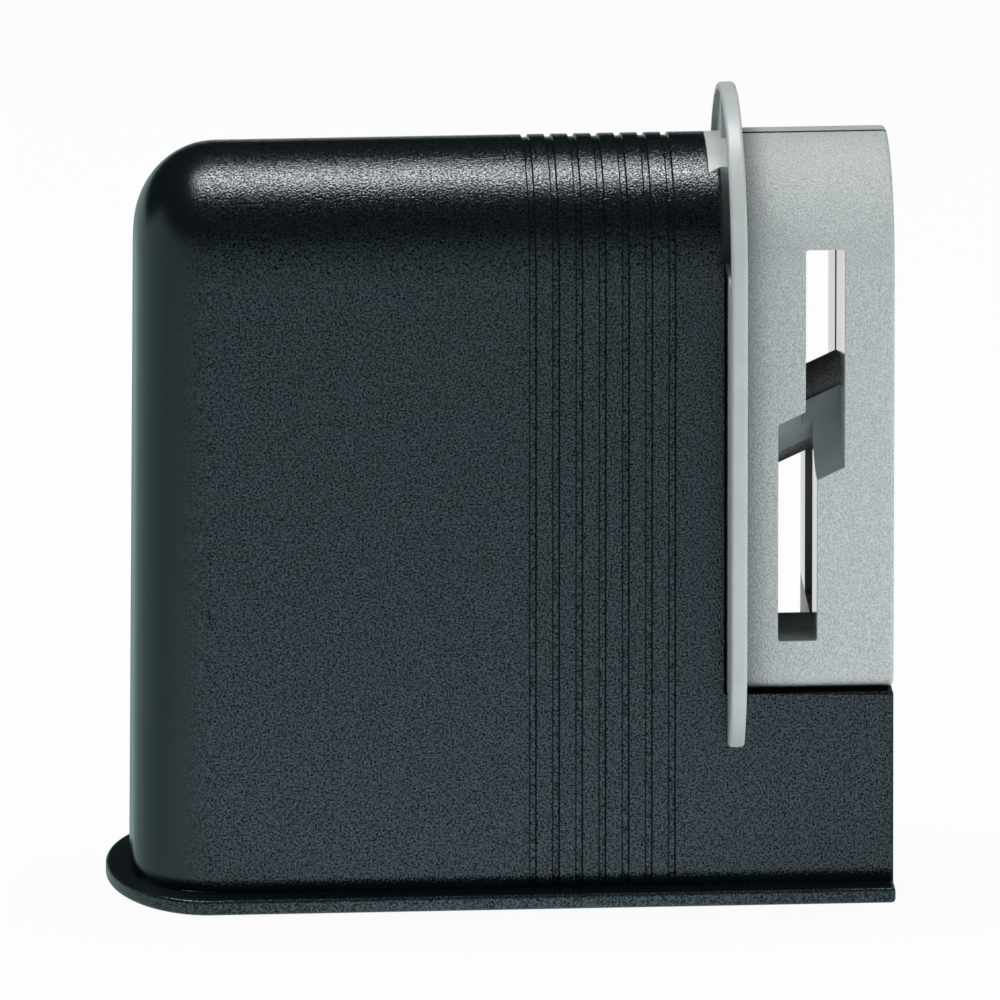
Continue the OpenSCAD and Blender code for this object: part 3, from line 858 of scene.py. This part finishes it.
def addBlock(piece):
    h = head
    root = blockX - h["blockRoot"]
    arch = archPoints(halfDepth, h["blockCrown"], h["blockFoot"], h["blockEdge"], h["archSteps"])
    block = drawSolid("block", [(root, y, z) for y, z in arch], (bodyRight - root, 0, 0))
    roundEdges(lambda edge: isSharp(edge, steep) and endsPass(lambda v: near(v.x, bodyRight))(edge),
               h["endEdge"], edgeSegments)
    combine(piece, block, "UNION")


# Floor of a slot seen from the end: flat at the faces, swept up to the lips at the rod
def sweepLine(drop):
    s = slot
    reach = s["rodRadius"] * cos(radians(s["lipAngle"])) + s["lipThick"]
    lift = s["rodRadius"] * sin(radians(s["lipAngle"]))
    radius = (drop + lift) / (1 - sin(radians(s["lipLean"])))
    middle = reach + radius * cos(radians(s["lipLean"]))
    rise = turnedArc((-middle, radius - drop), radius, 270, 360 - s["lipLean"], s["sweepSteps"])
    return [(-far, -drop)] + rise + [(-y, w) for y, w in rise[::-1]] + [(far, -drop)]


# Cuts one slot; way is 1 for the upper slot and -1 for the lower
def slotTool(left, end, drop, way):
    s = slot
    level = rodZ + (left - s["x"]) * tan(lean)
    line = [(left, y, level + way * w / cos(lean)) for y, w in sweepLine(drop)]
    line += [(left, far, end), (left, -far, end)]
    piece = drawSolid("slotTool", line, (s["width"], 0, s["width"] * tan(lean)))
    pick("VERT", lambda v: near(abs(v.co.y), far) and way * (v.co.z - end) > -0.001 - 3 * (way < 0))
    bpy.ops.transform.resize(value=(1, 1, 0), center_override=(0, 0, end))
    roundEdges(lambda edge: endsPass(lambda v: near(v.z, end))(edge)
               and near(edge.verts[0].co.x, edge.verts[1].co.x), s["corner"], s["cornerSegments"])
    tidyNormals()
    return piece


def cutSlots(piece):
    s = slot
    combine(piece, slotTool(upperLeft, slotTop, (s["gap"] / 2 + s["rodRise"]) * cos(lean), 1))
    combine(piece, slotTool(lowerLeft, slotBottom, (s["gap"] / 2 - s["rodRise"]) * cos(lean), -1))
    lowerRight, upperRight = lowerLeft + s["width"], upperLeft + s["width"]
    combine(piece, boxTool(
        (lowerLeft, s["floorDepth"] - halfDepth, -over), (lowerRight, far, slotBottom + over)))
    combine(piece, boxTool(
        (lowerRight - over, -s["windowWidth"] / 2, slotBottom),
        (lowerRight + s["windowDepth"], s["windowWidth"] / 2, rodZ - s["windowDrop"])))
    combine(piece, boxTool(
        (upperRight - over, 0, rodZ), (upperRight + s["jointDepth"], s["jointWidth"], slotTop)))
    seatRadius, seatHalf = s["rodRadius"] + s["rodPlay"], s["rodLength"] / 2 + s["rodEndGap"]
    combine(piece, rodTool("seat", seatRadius, seatHalf, 0, s["seatSteps"]))


# A round bar on the rod's slanted line, its ends rounded by the edge or plain
def rodTool(name, radius, half, edge, steps):
    line = [(-half, 0)]
    if edge:
        line += turnedArc((edge - half, radius - edge), edge, 180, 90, slot["rodEdgeSteps"])
        line += [(-a, r) for a, r in line[:0:-1]]
    else:
        line += [(-half, radius), (half, radius)]
    line += [(half, 0)]
    points = [rodMiddle + rodAxis * a + rodAcross * r for a, r in line]
    return turnLine(name, points, rodMiddle, rodAxis, steps)


def onHeadSkin(v):
    if v.x < blockX + head["skinFrom"] or v.x > bodyRight - head["skinTo"]:
        return False
    if v.z > head["blockCrown"]:
        return near(hypot(v.y, v.z - head["blockCrown"]), halfDepth, skinSlack)
    return near(abs(v.y), halfDepth, skinSlack / 2)


def onSeam(v):
    return near(v.y, 0) and (
        near(v.x, bodyRight) or near(v.z, blockTop) or near(v.z, headHigh.z)
        or near(v.x, head["guardX"]) or near(v.x, shell["bayX"] - head["tongueBack"]))


# Grained outside of the block, with the seam on its crown; faces that pass neither test are satin
def isGrained(face):
    h, c = head, face.calc_center_median()
    if c.x < blockX - 2 * skinSlack:
        return False
    if c.z > blockTop - h["seamDeep"] - h["faceSlack"] or c.x > bodyRight - h["endEdge"] - h["faceSlack"]:
        return True
    if c.z < h["blockFoot"] + h["blockEdge"] + h["faceSlack"]:
        return True
    radial = Vector((0, c.y, max(c.z - h["blockCrown"], 0)))
    return face.normal.dot(radial.normalized()) > h["faceTurn"] and radial.length > halfDepth - h["faceDepth"]


# Polished inside of the blade slots
def isPolished(face):
    c, slack = face.calc_center_median(), head["wallSlack"]
    return (lowerLeft - slack < c.x < upperLeft + slot["width"] + slot["windowDepth"] and
            slotBottom - slack < c.z < slotTop + slack and abs(c.y) < halfDepth - slack)


# One half of the head; way is -1 for the front, which has the pins, and 1 for the rear
def makeHalf(whole, name, way):
    piece = copyOf(whole, name)
    low, high = (-far, 0) if way < 0 else (0, far)
    combine(piece, boxTool((-far, low, -far), (far * 2, high, far * 2)), "INTERSECT")
    h = head
    if way < 0:
        combine(piece, roundTools(headPins, h["pinRadius"], -over, h["pinLength"], True), "UNION")
        combine(piece, roundTools(headScrews, h["pilotRadius"], screwSeat - h["pilotReach"], over, True))
    else:
        combine(piece, roundTools(headPins, h["pinSeat"], -over, h["pinSeatDepth"], True))
        combine(piece, roundTools(headScrews, h["shankRadius"], -over, screwSeat + over, True))
        combine(piece, roundTools(headScrews, h["screwHeadRadius"], screwSeat, far, True))
    edit(piece)
    roundEdges(lambda edge: isSharp(edge) and endsPass(onHeadSkin)(edge), h["slotEdge"])
    roundEdges(lambda edge: isSharp(edge) and endsPass(onSeam)(edge), h["seamEdge"], 1)
    for place, test in enumerate((lambda face: True, isPolished, isGrained)):
        pick("FACE", test)
        bpy.ops.object.mode_set(mode="OBJECT")
        for face in piece.data.polygons:
            if face.select:
                face.material_index = place
        bpy.ops.object.mode_set(mode="EDIT")
    letGo()
    node = "guide_front_half" if way < 0 else "guide_rear_half"
    finishPiece(piece, "guide_head", [node], [satinGrey, slotGrey, blockGrey])


def makeHead():
    whole = makeGuard()
    addBlock(whole)
    cutSlots(whole)
    combine(whole, boxTool(
        (blockX + head["seamFrom"], -head["seamWide"], blockTop - head["seamDeep"]),
        (far * 2, head["seamBack"], far * 2)))
    makeHalf(whole, "guideFrontHalf", -1)
    makeHalf(whole, "guideRearHalf", 1)
    bpy.data.objects.remove(whole)


makeHead()


def makeHeadScrews():
    first = screwSolid("guideScrews", screws["guide"])
    edit(first)
    bpy.ops.mesh.select_all(action="SELECT")
    bpy.ops.transform.rotate(value=-pi / 2, orient_axis="X", center_override=(0, 0, 0))
    letGo()
    top = screwSeat + screws["guide"]["headHeight"]
    placeCopies(first, [(x, top, z) for x, z in headScrews])
    finishPiece(first, "guide_head", ["guide_screws"], [steel])


makeHeadScrews()


# Round rod with fine ridges ground along its length
def makeRod():
    s = slot
    piece = rodTool("sharpeningRod", s["rodRadius"], s["rodLength"] / 2, s["rodEdge"], 2 * s["rodRidges"])
    mesh = bmesh.from_edit_mesh(piece.data)
    for v in mesh.verts:
        out = v.co - rodMiddle - rodAxis * (v.co - rodMiddle).dot(rodAxis)
        turned = atan2(out.y, out.dot(rodAcross)) / pi * s["rodRidges"]
        if out.length > s["rodRadius"] - 2 * skinSlack and round(turned) % 2:
            v.co -= out.normalized() * s["ridgeDepth"]
    bmesh.update_edit_mesh(piece.data)
    finishPiece(piece, "rod", ["sharpening_rod"], [ceramic], s["rodSmooth"])


makeRod()

print("stage: done")
